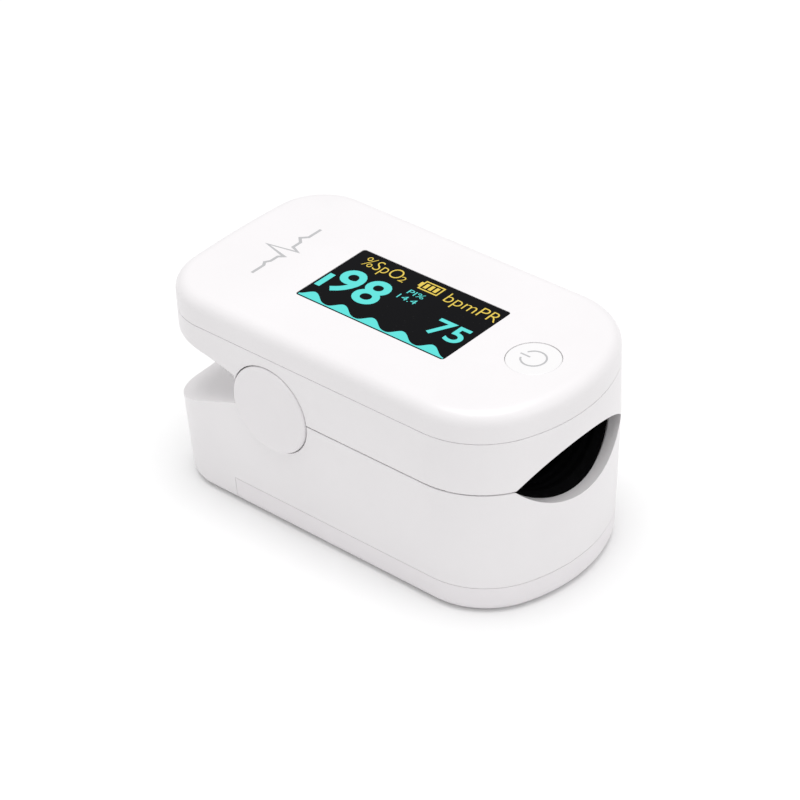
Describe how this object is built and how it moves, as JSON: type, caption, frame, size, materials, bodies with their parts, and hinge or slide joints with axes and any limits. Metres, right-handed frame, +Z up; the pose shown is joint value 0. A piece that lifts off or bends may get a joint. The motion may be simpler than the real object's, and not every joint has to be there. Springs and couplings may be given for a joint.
{
  "type": "fingertip pulse oximeter",
  "caption": "White fingertip clip: a sprung upper jaw with a black display window and power button over a lower jaw that holds dry cells behind a sliding door.",
  "frame": {"origin": "middle of the body's box, on the flat underside that it stands on", "axes": "+X along the body towards the finger mouth, +Y across it, +Z up to the display"},
  "size_m": [0.0584, 0.032, 0.0302],
  "materials": {
    "shell": "satin white moulded ABS",
    "door": "satin white moulded ABS",
    "cap": "satin white",
    "window": "smoked acrylic, polished",
    "pad": "soft matt silicone",
    "panel": "polished glass",
    "foam": "closed-cell foam",
    "polyimide": "amber polyimide film",
    "board": "green solder mask",
    "chip": "black epoxy",
    "component": "ceramic and tin",
    "switch": "black nylon",
    "button": "satin white",
    "lens": "clear epoxy window",
    "steel": "polished steel",
    "contact": "nickel-plated spring steel",
    "cell": "plain printed sleeve with a bare steel nub"
  },
  "bodies": {
    "lower_jaw": {"lower_housing": "shell", "lower_pad": "pad", "cell_left": "cell", "cell_right": "cell", "front_bridge_contact": "contact", "rear_spring_contact": "contact", "rear_plate_contact": "contact", "detector_board": "board", "photodiode": "lens", "detector_window": "lens", "hinge_pin": "steel", "pivot_cap_left": "cap", "pivot_cap_right": "cap", "torsion_spring_left": "steel", "torsion_spring_right": "steel", "flex_cable": "polyimide"},
    "upper_jaw": {"top_cover": "shell", "upper_housing": "shell", "upper_pad": "pad", "display_window": "window", "oled_panel": "panel", "display_frame": "foam", "display_ribbon": "polyimide", "main_board": "board", "controller_chip": "chip", "front_end_chip": "chip", "smd_parts": "component", "tact_switch": "switch", "emitter_board": "board", "emitter_led": "lens", "emitter_window": "lens", "flex_connector": "switch", "cover_screws": "steel"},
    "power_key": {"power_button": "button"},
    "switch_key": {"switch_plunger": "switch"},
    "door": {"battery_door": "door"}
  },
  "joints": [
    {"name": "jaw_hinge", "type": "hinge", "parent": "lower_jaw", "child": "upper_jaw", "pos_m": [-0.0085, 0, 0.0184], "axis": [0, -1, 0], "range_deg": [0, 27], "stiffness_Nm_per_rad": 0.1, "springref_deg": -34.38, "deforming": ["torsion_spring_left", "torsion_spring_right", "flex_cable"]},
    {"name": "power_press", "type": "slide", "parent": "upper_jaw", "child": "power_key", "axis": [0, 0, -1], "range_m": [0, 0.0003], "stiffness_N_per_m": 1500, "springref_m": -0.0004},
    {"name": "switch_press", "type": "slide", "parent": "upper_jaw", "child": "switch_key", "axis": [0, 0, -1], "range_m": [0, 0.0003]},
    {"name": "battery_door_slide", "type": "slide", "parent": "lower_jaw", "child": "door", "axis": [1, 0, 0], "range_m": [0, 0.055]}
  ],
  "couplings": [
    {"joint": "switch_press", "follows": "power_press", "ratio": 1}
  ]
}
